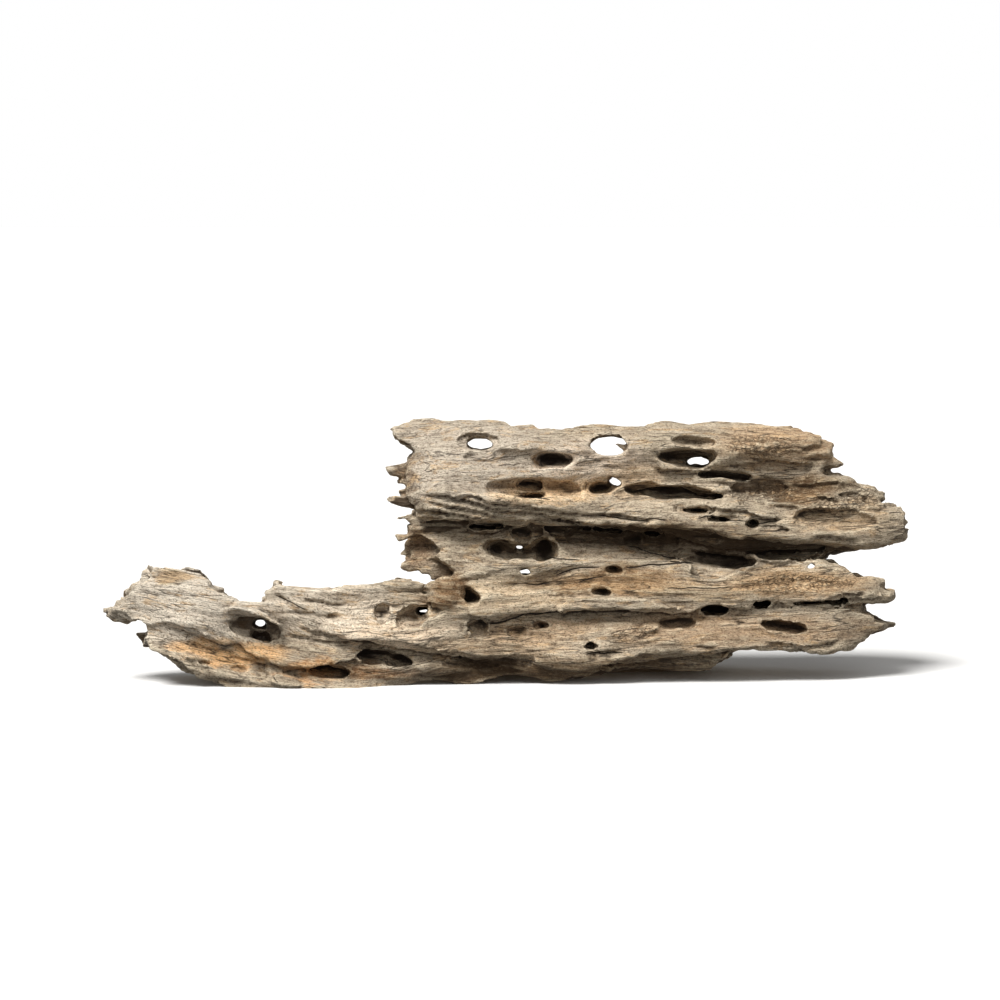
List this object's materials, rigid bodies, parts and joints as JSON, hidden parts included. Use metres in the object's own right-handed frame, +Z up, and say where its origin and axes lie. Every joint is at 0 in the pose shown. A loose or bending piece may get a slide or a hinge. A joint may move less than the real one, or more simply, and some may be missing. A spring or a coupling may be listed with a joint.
{
  "type": "honeycomb wood",
  "caption": "Weathered piece of honeycomb driftwood: a low arm and long limb under a tall, hollowed, layered crown, lying on its side.",
  "frame": {"origin": "on the ground, under the middle of the piece's box", "axes": "+Z up, +X along the piece from the low arm towards the split end, +Y to the back"},
  "size_m": [0.5154, 0.1338, 0.1678],
  "materials": {
    "limb_wood": "bare weathered wood, dry and matt, grey on the ridges and tan in the hollows",
    "crown_wood": "bare weathered wood, dry and matt, grey brown with dark hollows"
  },
  "bodies": {
    "root": {"long_limb": "limb_wood", "tall_crown": "crown_wood"}
  },
  "joints": []
}
